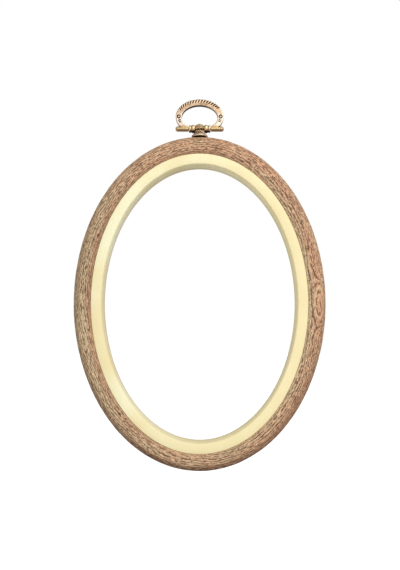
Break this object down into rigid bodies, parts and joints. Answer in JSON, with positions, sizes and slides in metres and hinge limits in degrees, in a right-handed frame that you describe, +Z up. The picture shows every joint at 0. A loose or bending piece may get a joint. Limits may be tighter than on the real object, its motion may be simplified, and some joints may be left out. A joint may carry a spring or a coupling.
{
  "type": "embroidery hoop",
  "caption": "Oval flexible embroidery hoop: a soft grained outer ring over a rigid inner ring, with a hinged hanging loop at the top.",
  "frame": {"origin": "the nail's seat, at the top of the hanging loop's opening, in the middle of the rings' depth", "axes": "+Z up, along the long axis of the oval; +X to the right seen from the front; the front, where the stitching shows, faces -Y"},
  "size_m": [0.1186, 0.011, 0.1749],
  "materials": {
    "grained_vinyl": "soft vinyl with an embossed wood grain, wiped darker in the grooves",
    "cream_plastic": "rigid moulded plastic with a soft gloss",
    "post_brass": "antique brass plating, dark in the recesses",
    "loop_brass": "antique brass plating, rubbed bright on the edges",
    "pin_brass": "antique brass plating",
    "screw_steel": "zinc-plated steel",
    "washer_steel": "zinc-plated steel"
  },
  "bodies": {
    "loop": {"hanging_loop": "loop_brass", "hinge_pin": "pin_brass"},
    "frame": {"outer_ring": "grained_vinyl", "hanger_post": "post_brass", "hanger_screw": "screw_steel", "screw_washer": "washer_steel"},
    "inner": {"inner_ring": "cream_plastic"}
  },
  "joints": [
    {"name": "loop_hinge", "type": "hinge", "parent": "loop", "child": "frame", "pos_m": [0, -0.00035, -0.01075], "axis": [1, 0, 0], "range_deg": [-125, 125]},
    {"name": "inner_ring_slide", "type": "slide", "parent": "frame", "child": "inner", "axis": [0, 1, 0], "range_m": [0, 0.018]}
  ]
}
